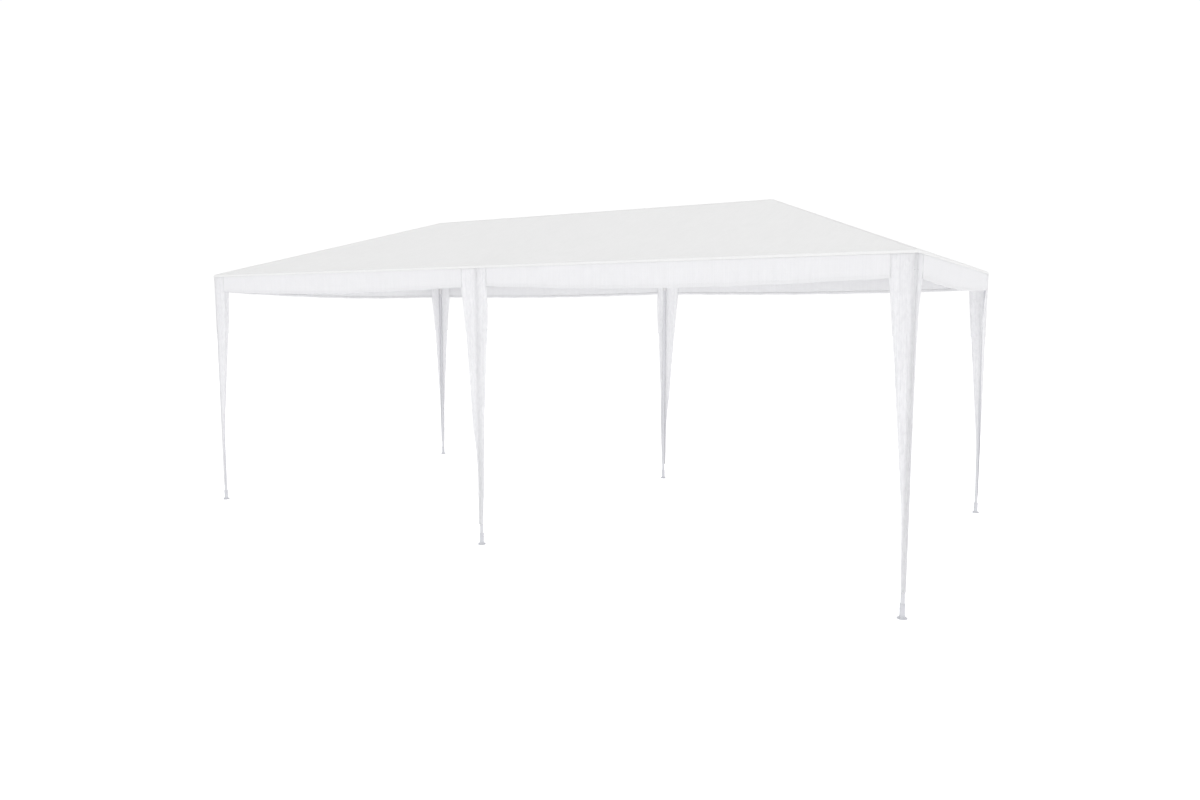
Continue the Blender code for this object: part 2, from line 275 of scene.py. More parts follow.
# %% [markdown]
# ## Powder coat and moulded plastic
# The tubes are thin steel, sprayed with white powder that melts into a skin about 0.08 mm thick.
# It flows a little as it melts and stays faintly dimpled, like orange peel, which breaks up its
# reflections. The sockets and feet are polypropylene, injection moulded in a mould with a fine
# matt texture, and they pick up grey scuffs where they are knocked and pushed together.

# %% Tube and plastic materials
PEEL = 0.0025            # size of one dimple in the powder coat
GRAIN = 0.0011           # size of the mould's texture, drawn coarser than the real 0.2 mm


def hard_material(name, colour, worn, grain, grain_strength, rough, scuffs, ior):
    """A coated or moulded hard surface: grain is its dimple size, worn the colour of its scuffs."""
    material, tree = new_material(name)
    place = add_node(tree, "ShaderNodeTexCoord").outputs["Object"]
    dimples = add_node(tree, "ShaderNodeTexNoise", {"Vector": place, "Scale": 1 / grain, "Detail": 2.0}).outputs["Fac"]
    patches = add_node(tree, "ShaderNodeTexNoise", {"Vector": place, "Scale": 34.0, "Detail": 6.0, "Roughness": 0.7})
    scuffed = add_node(tree, "ShaderNodeMapRange", {0: patches.outputs["Fac"], 1: 0.60, 2: 0.74, 3: 0.0, 4: scuffs},
                       interpolation_type="SMOOTHSTEP").outputs[0]
    paint = add_node(tree, "ShaderNodeMix", {"Factor": scuffed, "A": linear(colour), "B": linear(worn)},
                     data_type="RGBA")
    spread = add_node(tree, "ShaderNodeMapRange", {0: patches.outputs["Fac"], 3: rough - 0.05, 4: rough + 0.12})
    bump = add_node(tree, "ShaderNodeBump", {"Height": dimples, "Strength": grain_strength, "Distance": 0.0002})
    shader = add_node(tree, "ShaderNodeBsdfPrincipled", {
        "Base Color": paint.outputs["Result"], "Roughness": spread.outputs[0], "IOR": ior,
        "Normal": bump.outputs["Normal"],
    })
    add_node(tree, "ShaderNodeOutputMaterial", {"Surface": shader.outputs[0]})
    return material


powder_coat = hard_material("steel_white_powder_coat", "#C9CACE", "#9EA09F", PEEL, 0.25, 0.32, 0.55, 1.5)
moulded_pp = hard_material("moulded_polypropylene_white", "#D6D6D7", "#B0B0B0", GRAIN, 0.30, 0.46, 0.45, 1.49)
foot_pp = hard_material("moulded_polypropylene_foot", "#C6C7CC", "#9C9C9A", GRAIN, 0.30, 0.50, 0.60, 1.49)
stitch_thread = hard_material("polyester_thread_white", "#DEDEE0", "#C8C8CA", 0.0004, 0.30, 0.60, 0.2, 1.53)
print("hard materials:", powder_coat.name, moulded_pp.name, foot_pp.name)

# %% [markdown]
# ## The roof sheet
# The real roof is one cover, sewn from four panels, pulled over the tubes. Its shape is a hip roof
# whose panels hang a little between the tubes that carry them. Cloth simulation could find that
# sag. A formula is steadier: the sag is zero on every tube and greatest midway between them.

# %% Height of the roof
PANEL_SAG = 0.040        # of a long panel, midway between hip, mid rafter, eave and ridge
END_SAG = 0.030          # of an end panel
LEG_FOLD = 0.0022        # height of the folds that fan out from each leg
RISE = RIDGE_TOP - EAVE_TOP
END_RUN = ROOF_X - RIDGE_REACH
MEAN_SLOPE = math.atan(RISE / ((ROOF_Y + END_RUN) / 2))


def tension_folds(x, y):
    """Shallow folds that fan out from each leg, where the cover is pulled hardest: a cosine of the
    angle round the leg, fading with the distance from it."""
    height = np.zeros_like(x)
    for station in STATIONS.values():
        for side in SIDES.values():
            dx, dy = x - station * ROOF_X, y - side * ROOF_Y
            turn = np.arctan2(np.abs(dy), np.abs(dx))
            fade = np.exp(-((np.hypot(dx, dy) - 0.30) / 0.28) ** 2)
            height += LEG_FOLD * fade * np.cos(turn * (22 if station else 16))
    return height


def roof_height(x, y):
    """Height of the cover over points of the plan. Each plane rises from its eave by H s, with s
    the share of the way in. It sinks by the sag: on a long side D * 4 f (1 - f) * 4 s (1 - s), with
    f the share of the way from the mid rafter to the hip, and on an end 1 - f f for 4 f (1 - f)."""
    s_side = (ROOF_Y - np.abs(y)) / ROOF_Y
    s_end = (ROOF_X - np.abs(x)) / END_RUN
    f_side = np.clip(np.abs(x) / (ROOF_X - s_side * END_RUN), 0, 1)
    f_end = np.clip(np.abs(y) / np.maximum(ROOF_Y * (1 - s_end), 1e-6), 0, 1)
    sag_side = PANEL_SAG * 4 * f_side * (1 - f_side) * 4 * s_side * (1 - s_side)
    sag_end = END_SAG * (1 - f_end**2) * 4 * s_end * (1 - s_end)
    sag = np.where(s_side <= s_end, sag_side, sag_end)
    return EAVE_TOP + RISE * np.minimum(s_side, s_end) - sag + tension_folds(x, y)


print(f"roof slopes {math.degrees(math.atan(RISE / ROOF_Y)):.1f} and {math.degrees(math.atan(RISE / END_RUN)):.1f} degrees")

# %% [markdown]
# ## Rings from the lip to the ridge
# The roof's grid runs in rings, so that one mesh can turn over the eave tube and climb to the ridge
# without a break. The outermost rings are the cover's lip: a short straight drop, to which the
# valance is sewn, and an arc over the tube. The last ring closes on itself along the ridge.

# %% Rings of the roof
LIP_RADIUS = 0.012       # how tightly the cover turns over the eave
LIP_DROP = 0.010         # how far its sewn edge hangs below that turn
HIP_ROUND = 0.014        # plan radius of the sheet's turn round a corner
PER_SIDE, PER_CORNER, RINGS = 56, 7, 64
PLAN_CORNERS = ((-1, -1), (1, -1), (1, 1), (-1, 1))


def rounded_ring(half_x, half_y, radius):
    """Rectangles' outlines with round corners, anticlockwise from the front left, one for each value
    of the arrays. A corner is a quarter of a circle round a centre set in by its radius, and a side
    runs straight from the end of one quarter to the start of the next."""
    half_x, half_y, radius = (np.asarray(v, float)[:, None] for v in (half_x, half_y, radius))
    xs, ys = [], []
    for k, (corner_x, corner_y) in enumerate(PLAN_CORNERS):
        turn = np.pi + k * np.pi / 2 + np.linspace(0, np.pi / 2, PER_CORNER)[None, :]
        arc_x = corner_x * (half_x - radius) + radius * np.cos(turn)
        arc_y = corner_y * (half_y - radius) + radius * np.sin(turn)
        next_x, next_y = PLAN_CORNERS[(k + 1) % 4]
        share = np.linspace(0, 1, (1 + (k % 2 == 0)) * PER_SIDE + 1)[None, 1:-1]
        step_x, step_y = (next_x - corner_x) * (half_x - radius), (next_y - corner_y) * (half_y - radius)
        xs += [arc_x, arc_x[:, -1:] + step_x * share]
        ys += [arc_y, arc_y[:, -1:] + step_y * share]
    return np.concatenate(xs, 1), np.concatenate(ys, 1)


def panel_rings():
    """Rings from just inside the eave to the ridge: at s they measure X - s (X - R) by Y - s Y."""
    s = np.linspace(0.012, 1.0, RINGS)
    half_y = ROOF_Y - s * ROOF_Y
    x, y = rounded_ring(ROOF_X - s * END_RUN, half_y, np.minimum(HIP_ROUND, half_y * 0.9))
    return x, y, roof_height(x, y)


def lip_rings():
    """Rings from the sewn edge upwards. With t the angle from the horizontal, the arc is set in from
    the wall by r (1 - cos t) and rises by r sin t, up to where it meets the roof's slope."""
    last = math.pi / 2 - MEAN_SLOPE
    turn = np.linspace(0, last, 7)
    inset = LIP_RADIUS * (1 - np.cos(turn))
    meet = EAVE_TOP + inset[-1] * math.tan(MEAN_SLOPE)
    height = meet + LIP_RADIUS * (np.sin(turn) - math.sin(last))
    inset = np.concatenate([np.zeros(2), inset])
    height = np.concatenate([height[0] - LIP_DROP * np.array([1.0, 0.5]), height])
    x, y = rounded_ring(ROOF_X - inset, ROOF_Y - inset, np.full(len(inset), HIP_ROUND))
    return x, y, np.repeat(height[:, None], x.shape[1], 1)


rings = [np.concatenate(pair) for pair in zip(lip_rings(), panel_rings())]
LIP_EDGE = float(rings[2][0, 0])
print(f"roof rings: {rings[0].shape[0]} of {rings[0].shape[1]} points, from {LIP_EDGE:.4f} m up")

# %% [markdown]
# ## Seams along the hips and the ridge
# Where two panels meet, their edges are folded into each other and sewn flat. That felled seam is
# four layers thick, so it stands up from the sheet as a band about 16 mm wide. The band follows the
# roof's own height formula with a little added, so it lies on the cloth wherever the cloth goes.

# %% Seam bands
SEAM_HALF = 0.008        # half the width of a felled seam
SEAM_LIFT = 0.0008       # its height above the sheet
SEAM_STOP = 0.015        # how far short of the eave a hip's seam ends
SEAMS = [((cx * RIDGE_REACH, 0.0), (cx * (ROOF_X - SEAM_STOP), cy * (ROOF_Y - SEAM_STOP))) for cx, cy in PLAN_CORNERS]
SEAMS.append(((-RIDGE_REACH, 0.0), (RIDGE_REACH, 0.0)))


def on_roof(start, end, share, offset, lift):
    """Points on the roof along the plan line from start to end, offset metres to its left."""
    start, end = np.array(start), np.array(end)
    left = np.array([start[1] - end[1], end[0] - start[0]]) / math.dist(start, end)
    plan = start + (end - start) * share[..., None] + left * offset[..., None]
    return np.concatenate([plan, (roof_height(plan[..., 0], plan[..., 1]) + lift)[..., None]], -1)


def seam_band(start, end):
    """A band with the lift h (1 - w^4), with w from -1 to 1 across it, that sinks into the sheet
    over its last 12 mm."""
    share, across = np.meshgrid(np.linspace(0, 1, 140), np.linspace(-1, 1, 9), indexing="ij")
    length = math.dist(start, end)
    sink = np.clip((1 - share) * length / 0.012, 0, 1)
    points = on_roof(start, end, share, across * SEAM_HALF, SEAM_LIFT * (1.02 - across**4) * sink)
    cloth = np.stack([share * length, across * SEAM_HALF], -1)
    faces = grid_faces(*share.shape, flip=True)
    return points.reshape(-1, 3), faces, cloth.reshape(-1, 2)[faces]


# %% [markdown]
# ## One mesh for the cover
# The cloth's own coordinates run along the eave and up the slope, in metres. Each face takes those
# of the panel it lies in, so that the weave of a panel runs parallel to its own eave and meets the
# next panel's at the hip, as in sewn cloth. One flat projection would smear it on the steep ends.

# %% Build the roof cover
def join(parts):
    """Several (points, faces) put together as one set, with the faces renumbered."""
    offsets = np.cumsum([0] + [len(points) for points, _ in parts[:-1]])
    return (
        np.concatenate([points for points, _ in parts]),
        np.concatenate([faces + offset for (_, faces), offset in zip(parts, offsets)]),
    )


def weld(piece, distance=0.00005):
    """Merges points that lie on each other, such as the two sides of a closed seam."""
    form = bmesh.new()
    form.from_mesh(piece.data)
    before = len(form.verts)
    bmesh.ops.remove_doubles(form, verts=form.verts, dist=distance)
    bmesh.ops.dissolve_degenerate(form, edges=form.edges, dist=distance / 2)
    form.to_mesh(piece.data)
    after = len(form.verts)
    form.free()
    return before - after


sheet_points = np.stack(rings, -1).reshape(-1, 3)
sheet_faces = grid_faces(*rings[0].shape, closed=True)
corner = sheet_points[sheet_faces]
centre = corner.mean(1)
on_side = (ROOF_Y - np.abs(centre[:, 1])) / ROOF_Y <= (ROOF_X - np.abs(centre[:, 0])) / END_RUN
along_eave = np.where(on_side[:, None], corner[..., 0], corner[..., 1])
run_in = np.where(on_side[:, None], ROOF_Y - np.abs(corner[..., 1]), ROOF_X - np.abs(corner[..., 0]))
sheet_cloth = np.stack([along_eave, np.hypot(run_in, corner[..., 2] - EAVE_TOP)], -1)
bands = [seam_band(start, end) for start, end in SEAMS]
points, faces = join([(sheet_points, sheet_faces)] + [band[:2] for band in bands])
cloth = np.concatenate([sheet_cloth] + [band[2] for band in bands])
roof = mesh_piece("roof_cover", points, faces, roof_sheet, cloth)
print("roof cover: merged", weld(roof), "points")
give_thickness(roof, 0.0008)
settle(roof, "roof_sheet", "roof_panel_front", "roof_panel_back", "roof_panel_left", "roof_panel_right")

# %% [markdown]
# ## The roof's flat size
# Cut and laid flat, the cover is two trapezoids and two triangles with their lips. Their area
# follows from the slopes' lengths, and the smallest rectangle that holds the sewn cover is as long
# as the tent and as wide as the two long slopes together.

# %% [markdown]
# ## Stitches
# A row of lockstitch is a line of short humps of thread, each about 4 mm long with a small gap. A
# bump texture could fake it, but real humps hold up close by. Each is a stretched octahedron: six
# points and eight faces, so that thousands of them stay light.

# %% Rows of stitches
STITCH, STITCH_STEP = 0.0045, 0.0090     # drawn coarser than the real 2.5 mm, to show at all
STITCH_WIDE, STITCH_HIGH = 0.0011, 0.0007
stitch_rows = []
OCTAHEDRON = np.array([(0, 2, 4), (2, 1, 4), (1, 3, 4), (3, 0, 4), (2, 0, 5), (1, 2, 5), (3, 1, 5), (0, 3, 5)])


def stitch_row(path, outward):
    """Stitches along a path of points (n, 3). Their centres are the points at equal steps of its
    length, and each has two points along the path, two across it and two in and out."""
    leg = np.linalg.norm(np.diff(path, axis=0), axis=1)
    run = np.concatenate([[0.0], np.cumsum(leg)])
    stops = np.arange(STITCH_STEP, run[-1] - STITCH_STEP, STITCH_STEP)
    at = lambda values: np.stack([np.interp(values, run, path[:, i]) for i in range(3)], -1)
    centre, ahead = at(stops), at(stops + STITCH / 2)
    along = (ahead - centre) / np.linalg.norm(ahead - centre, axis=1)[:, None]
    out = np.broadcast_to(np.asarray(outward, float), centre.shape)
    side = np.cross(out, along)
    side /= np.linalg.norm(side, axis=1)[:, None]
    out = np.cross(along, side)
    tips = [along * STITCH / 2, -along * STITCH / 2, side * STITCH_WIDE / 2, -side * STITCH_WIDE / 2,
            out * STITCH_HIGH / 2, -out * STITCH_HIGH / 2]
    points = np.stack([centre + tip for tip in tips], 1).reshape(-1, 3)
    faces = (OCTAHEDRON[None] + 6 * np.arange(len(centre))[:, None, None]).reshape(-1, 3)
    stitch_rows.append((points, faces))


def sew(name, slot):
    """Makes one piece of all the rows collected so far, and starts a new collection."""
    points, faces = join(stitch_rows)
    stitch_rows.clear()
    piece = mesh_piece(name, points, faces, stitch_thread)
    settle(piece, slot)
    print(f"{name}: {len(points) // 6} stitches")


for start, end in SEAMS:
    for across in (-0.55, 0.55):
        share = np.linspace(0, 1, 200)
        offset = np.full(200, across * SEAM_HALF)
        lift = SEAM_LIFT * (1.02 - across**4) + STITCH_HIGH * 0.2
        stitch_row(on_roof(start, end, share, offset, lift), (0, 0, 1))
for out_x, out_y in ((0, -1), (1, 0), (0, 1), (-1, 0)):
    for height in (0.25, 0.75):
        reach = np.linspace(-1, 1, 60) * ((ROOF_X if out_y else ROOF_Y) - HIP_ROUND)
        x = reach if out_y else np.full(60, out_x * ROOF_X)
        y = np.full(60, out_y * ROOF_Y) if out_y else reach
        stitch_row(np.stack([x, y, np.full(60, LIP_EDGE + LIP_DROP * height)], -1), (out_x, out_y, 0))
sew("roof_stitching", "roof_sheet")

# %% [markdown]
# ## The valance
# A strip of the same sheet hangs from the eave all the way round. It is cut straight, hemmed below
# and sewn to the lip above, and between the legs it hangs a little lower than at them. In section
# it runs down, turns in a tight half circle and comes up again inside: that is the hem. Making the
# hem as a real fold, and not as a drawn line, gives it the double edge that catches the light.

# %% Valance measures
VALANCE_AT_LEGS = 0.145  # from the eave to the hem, at a leg
HEM = 0.022              # height of the folded hem
HEM_TURN = 0.0011        # radius of its fold
VALANCE_INSET = 0.0018   # of the strip behind the wall's face, so that leg covers lie over it
VALANCE_TOP = LIP_EDGE + 0.004
SHEET_THICKNESS = 0.0005
CORNER_WING = 0.150      # reach of a leg cover beside the valance, at a corner
LONG_WING, SHORT_WING = 0.145, 0.090     # and at a middle leg
LAP = 0.008              # how far a strip runs on behind the edge of a leg cover, for the seam
BAYS = {                 # each strip's two legs, anticlockwise, the covers' wings there, and its sag
    "front_left": ((-ROOF_X, -ROOF_Y), (0.0, -ROOF_Y), CORNER_WING, LONG_WING, 0.034),
    "front_right": ((0.0, -ROOF_Y), (ROOF_X, -ROOF_Y), SHORT_WING, CORNER_WING, 0.034),
    "right": ((ROOF_X, -ROOF_Y), (ROOF_X, ROOF_Y), CORNER_WING, CORNER_WING, 0.034),
    "back_right": ((ROOF_X, ROOF_Y), (0.0, ROOF_Y), CORNER_WING, LONG_WING, 0.018),
    "back_left": ((0.0, ROOF_Y), (-ROOF_X, ROOF_Y), SHORT_WING, CORNER_WING, 0.018),
    "left": ((-ROOF_X, ROOF_Y), (-ROOF_X, -ROOF_Y), CORNER_WING, CORNER_WING, 0.034),
}

# %% [markdown]
# ## How a strip hangs
# The strip is stiff where the lip holds it and free below, so its waves grow downwards. They are a
# sum of three sines of unequal length, which never line up the same way twice along a bay.

# %% Valance strips
def hem_depth(u, span, sag, phase):
    """Depth of the hem at u metres along: D + S sin(pi u / L), with two faint sines of unevenness."""
    depth = VALANCE_AT_LEGS + sag * np.sin(np.pi * u / span)
    return depth + 0.0012 * np.sin(TAU * u / 0.41 + phase) + 0.0007 * np.sin(TAU * u / 0.17 + 2 * phase)


def hanging(bay, u, height, fold=0.0):
    """Points of a strip: its place along the bay, and an inset that grows with the way down."""
    number = list(BAYS).index(bay)
    start, end, first_wing, last_wing, _ = BAYS[bay]
    start, end = np.array(start), np.array(end)
    span = float(np.linalg.norm(end - start))
    along = (end - start) / span
    phase = 1.3 + 2.1 * number
    wave = 0.0024 * np.sin(TAU * u / 0.83 + phase) + 0.0014 * np.sin(TAU * u / 0.31 + 1.7 * phase)
    wave = wave + 0.0007 * np.sin(TAU * u / 0.094 + 3.1 * phase)
    down = np.clip((VALANCE_TOP - height) / VALANCE_AT_LEGS, 0, 1.3)
    free = np.sin(np.pi * np.clip((u - first_wing) / (span - first_wing - last_wing), 0, 1)) ** 0.5
    inset = VALANCE_INSET * (1 - 0.6 * free) + (0.0045 + wave) * down * free + fold
    inward = np.array([-along[1], along[0]])
    plan = start + (u + 0 * inset)[..., None] * along + inset[..., None] * inward
    return np.concatenate([plan, (height + 0 * inset)[..., None]], -1)


def valance_strip(bay):
    """A strip's grid: rows down to the fold, round it in a half circle, and up its inner side."""
    start, end, first_wing, last_wing, sag = BAYS[bay]
    span = math.dist(start, end)
    phase = 1.3 + 2.1 * list(BAYS).index(bay)
    first, last = first_wing - LAP, span - last_wing + LAP
    u = np.linspace(first, last, int(span / 0.012))[None, :]
    low = EAVE_TOP - hem_depth(u, span, sag, phase) + HEM_TURN
    down = np.linspace(0.0, 1.0, 18)[:, None]
    turn = np.linspace(0, np.pi, 6)[1:-1, None]
    up = np.linspace(0.0, 1.0, 4)[:, None]
    height = np.concatenate([
        VALANCE_TOP + (low - VALANCE_TOP) * down, low - HEM_TURN * np.sin(turn), low + (HEM - HEM_TURN) * up,
    ])
    fold = np.concatenate([0 * down, HEM_TURN * (1 - np.cos(turn)), 2 * HEM_TURN + 0 * up])
    points = hanging(bay, u, height, fold)
    step = np.linalg.norm(np.diff(points, axis=0), axis=2)
    run = np.concatenate([np.zeros((1, u.size)), np.cumsum(step, 0)])
    faces = grid_faces(*height.shape, flip=True)
    cloth = np.stack([u + 0 * run, run], -1).reshape(-1, 2)[faces]
    piece = mesh_piece(f"valance_strip_{bay}", points.reshape(-1, 3), faces, valance_sheet, cloth)
    give_thickness(piece, SHEET_THICKNESS)
    settle(piece, "valance_sheet", f"valance_{bay}")

    # The hem's stitches run just below the upper edge of its fold.
    row = np.linspace(first, last, 250)
    at = EAVE_TOP - hem_depth(row, span, sag, phase) + HEM - 0.003
    outward = ((end[1] - start[1]) / span, (start[0] - end[0]) / span, 0.0)
    stitch_row(hanging(bay, row, at, -0.0002), outward)


for bay in BAYS:
    valance_strip(bay)
sew("valance_stitching", "valance_sheet")

# %% [markdown]
# ## The leg covers
# A cover hides each leg like a curtain: wide where it is sewn on at the eave, tapering to the knee,
# and then a narrow sleeve down to the bare tube above the foot. It is folded lengthwise, so that it
# has two wings. Their reach changes along straight lines, with the knee eased.

# %% Cover outline
COVER_TOP = EAVE_TOP - 0.008
COVER_HEM = EAVE_TOP - VALANCE_AT_LEGS
COVER_KNEE = 0.60
COVER_BOTTOM = 0.15
CORNER_WINGS = {"hem": (CORNER_WING, CORNER_WING), "knee": (0.039, 0.039), "bottom": (0.026, 0.026)}
MID_WINGS = {"hem": (LONG_WING, SHORT_WING), "knee": (0.036, 0.030), "bottom": (0.022, 0.020)}
WALL = ROOF_X - LEG_X    # from a leg's axis out to the wall's face
SNUG = TUBE_R + 0.0030   # from a leg's axis out to the cover near the foot
COVER_INSET = 0.0006     # of the cover behind the lip's face
EDGE_HEM = 0.010         # width of the turned and sewn edge of a wing


def wing_reach(z, wings, which):
    """A wing's reach at height z: constant over the valance, then straight to the knee, then
    straight to the bottom. Near the knee it is the mean of its values 5 cm above and below."""
    knots = [COVER_BOTTOM, COVER_KNEE, COVER_HEM, COVER_TOP]
    reach = [wings[key][which] for key in ("bottom", "knee", "hem", "hem")]
    straight = np.interp(z, knots, reach)
    ease = 0.5 * (np.interp(z - 0.05, knots, reach) + np.interp(z + 0.05, knots, reach))
    near_knee = np.exp(-((z - COVER_KNEE) / 0.10) ** 2)
    return straight + (ease - straight) * near_knee


def stand_off(z):
    """Distance from the leg's axis out to the cover: in the wall at the valance, snug at the foot."""
    share = np.clip((z - COVER_BOTTOM) / (COVER_HEM - COVER_BOTTOM), 0, 1)
    return SNUG + (WALL - COVER_INSET - SNUG) * share


print(f"leg covers from {COVER_TOP:.3f} m down to {COVER_BOTTOM} m")

# %% [markdown]
# ## Creases and crumples
# Two kinds of relief make such a cover look like plastic sheet. Long creases run down it and draw
# together, because it is gathered as it tapers. They are ripples in the share of the way across a
# wing, not in metres, so they converge by themselves as the wing narrows. Short crumples lie between
# the eave and waist height, where the cover was folded in its bag. Each is one small ridge or dent.

# %% Relief of a cover
def creases(share, z, rng):
    """A sum of ripples whose number across the wing is fixed and whose phase drifts down the leg,
    so that some creases run out and others begin."""
    depth = np.zeros(np.broadcast(share, z).shape)
    for count in (2.3, 3.9, 6.7, 11.3):
        phase, bend, patch = rng.uniform(0, TAU, 3)
        drift, beat = rng.uniform(0.6, 1.6), rng.uniform(3, 7)
        ripple = np.sin(TAU * count * share / 2 + phase + drift * np.sin(2.4 * z + bend))
        depth += ripple * (0.55 + 0.45 * np.sin(beat * z + patch)) / count**0.6
    return depth


def crumples(t, z, rng, count=230):
    """A sum of count ridges and dents. Each has the height exp(-(a/w)^2 - (b/l)^2), with a and b the
    distances across and along it, and most lie nearly upright."""
    height = np.zeros(np.broadcast(t, z).shape)
    for _ in range(count):
        at_t, at_z = rng.uniform(-0.15, 0.15), COVER_TOP - abs(rng.normal(0, 0.45))
        tilt, size = rng.normal(0, 0.45), rng.uniform(0.6, 1.8)
        width, length = 0.0065 * size, 0.022 * size
        a = (t - at_t) * math.cos(tilt) + (z - at_z) * math.sin(tilt)
        b = (z - at_z) * math.cos(tilt) - (t - at_t) * math.sin(tilt)
        height += rng.choice((-1.0, 1.0)) * size * np.exp(-((a / width) ** 2) - (b / length) ** 2)
    return height


def relief(share, t, reach, z, seed):
    """How far the cloth stands in from its smooth form, in metres: at least 0, so that it stays
    inside the wall. The turned edges are twice as thick, so there it comes out by 0.4 mm."""
    rng = np.random.default_rng(seed)
    free = np.clip((COVER_HEM + 0.10 - z) / 0.25, 0.25, 1)
    gather = np.clip(reach / 0.10, 0.27, 1.1)
    ripple = 0.0028 * (1.3 + creases(share, z, rng)) * gather
    crumple = 0.0011 * (1.6 + crumples(t, z, rng)) * np.clip(reach / 0.12, 0, 1)
    off_fold = np.abs(share) ** 0.5
    edge = 0.0004 * np.clip((np.abs(t) - reach + EDGE_HEM) / 0.001, 0, 1)
    return np.maximum((ripple + crumple) * free * off_fold, 0.0) + 0.0004 - edge


# %% [markdown]
# ## From a surface to a cover
# Each cover is a function of two numbers: the share of the way across its wings, and the height.
# The same function places the cloth and the stitches along its turned edges, so they can't part.

# %% Make a cover from its surface
ROWS, COLUMNS = 210, 84


def cover_piece(place, surface, wings, out, faces_flip):
    """The cover at a place. surface(share, z) gives its points, and out the side it is seen from."""
    z = np.linspace(COVER_TOP, COVER_BOTTOM, ROWS)[:, None]
    points = surface(np.linspace(-1, 1, COLUMNS)[None, :], z)
    across = np.linalg.norm(np.diff(points, axis=1), axis=2)
    u = np.concatenate([np.zeros((ROWS, 1)), np.cumsum(across, 1)], 1)
    u = u - u.mean(1, keepdims=True)
    v = COVER_TOP - points[..., 2]
    faces = grid_faces(ROWS, COLUMNS, flip=faces_flip)
    cloth = np.stack([u, v], -1).reshape(-1, 2)[faces]
    piece = mesh_piece(f"leg_curtain_{place}", points.reshape(-1, 3), faces, cover_sheet, cloth)
    give_thickness(piece, SHEET_THICKNESS)
    settle(piece, "leg_cover_sheet", f"leg_cover_{place}")
    for which, sign in ((0, -1), (1, 1)):
        reach = wing_reach(z, wings, which)
        row = surface(sign * (1 - 0.8 * EDGE_HEM / reach), z)[:, 0]
        stitch_row(row, out)


# %% [markdown]
# ## Folding a cover round a corner leg
# In plan, a corner cover is an L with a soft bend. The curve p q = r r / 4 has just that shape: far
# from the bend it runs along one wall or the other, and near it it turns with radius r. With t the
# distance from the bend, p = (sqrt(t t + r r) - t) / 2 and q = (sqrt(t t + r r) + t) / 2.

# %% Corner covers
EDGE_CURL = 0.010        # how far the free edge of a wing curls in


def corner_surface(end, side, seed):
    """Surface of the cover on the corner leg at end and side, each -1 or 1."""
    def surface(share, z):
        reach = np.where(share < 0, wing_reach(z, CORNER_WINGS, 0), wing_reach(z, CORNER_WINGS, 1))
        t = share * reach
        free = np.clip((COVER_HEM - z) / 0.25, 0, 1)
        bend = 0.0105 + 0.0045 * np.clip((z - COVER_BOTTOM) / 1.5, 0, 1)
        root = np.sqrt(t**2 + bend**2)
        p, q = (root - t) / 2, (root + t) / 2
        depth = relief(share, t, reach, z, seed)
        depth = depth + EDGE_CURL * free * np.abs(share) ** 3 * np.clip((z - COVER_KNEE) / 0.8, 0, 1)
        into_p = np.clip(q / (p + q), 0, 1)
        ends = 0.004 * np.sin(TAU * share * 0.8 + seed) * (z < COVER_BOTTOM + 0.02)
        x = end * (LEG_X + stand_off(z) - p - depth * into_p)
        y = side * (LEG_Y + stand_off(z) - q - depth * (1 - into_p))
        return np.stack([x, y, z + ends + 0 * p], -1)
    return surface


for end in (-1, 1):
    for side in (-1, 1):
        place = f"{'front' if side < 0 else 'back'}_{'left' if end < 0 else 'right'}"
        surface = corner_surface(end, side, 11 + 3 * end + side)
        cover_piece(place, surface, CORNER_WINGS, (end, side, 0), end * side < 0)

# %% [markdown]
# ## Covers on the middle legs
# A middle leg has no corner to fold the cloth round. Its long wing stays in the wall, and the short
# one swings inwards below the valance. In plan that is a line that turns through an angle beyond
# the tube, and the angle grows from nothing at the hem.

# %% Middle covers
SWING = math.radians(35)
SWING_DROP = 0.30        # how far below the hem the short wing has swung in fully


def mid_surface(side, seed):
    """Surface of a middle cover: its long wing points left on the front and right on the back."""
    def surface(share, z):
        reach = np.where(share < 0, wing_reach(z, MID_WINGS, 0), wing_reach(z, MID_WINGS, 1))
        t = share * reach
        free = np.clip((COVER_HEM - z) / 0.25, 0, 1)
        swing = SWING * np.clip((COVER_HEM - z) / SWING_DROP, 0, 1)
        beyond = np.sqrt(np.maximum(t - TUBE_R, 0) ** 2 + 0.006**2) - 0.006
        p = t - beyond * (1 - np.cos(swing))
        depth = beyond * np.sin(swing) + relief(share, t, reach, z, seed)
        depth = depth + EDGE_CURL * free * np.abs(share) ** 3 * (share < 0) * np.clip((z - COVER_KNEE) / 0.8, 0, 1)
        # Down at the sleeve the cloth wraps round the front of the tube.
        depth = depth + np.clip((COVER_KNEE + 0.25 - z) / 0.35, 0, 1) * t**2 / 0.050
        ends = 0.003 * np.sin(TAU * share * 0.7 + seed) * (z < COVER_BOTTOM + 0.02)
        y = side * (LEG_Y + stand_off(z) - depth)
        return np.stack([-side * p + 0 * y, y, z + ends + 0 * p], -1)
    return surface


for side_name, side in SIDES.items():
    cover_piece(f"{side_name}_mid", mid_surface(side, 31 + side), MID_WINGS, (0, side, 0), True)
sew("cover_stitching", "leg_cover_sheet")

# %% [markdown]
# ## Turned pieces: tubes, sockets and feet
# A tube, a socket and a foot are all round, so one function makes them: a list of distances along a
# straight path, each with its radius, and a ring of points at each. A radius of zero closes an end.
# A cylinder would do for a plain bar. A profile can also carry the step where two lengths of tube
# push together, the bead round a socket's mouth and the skirt of a foot.

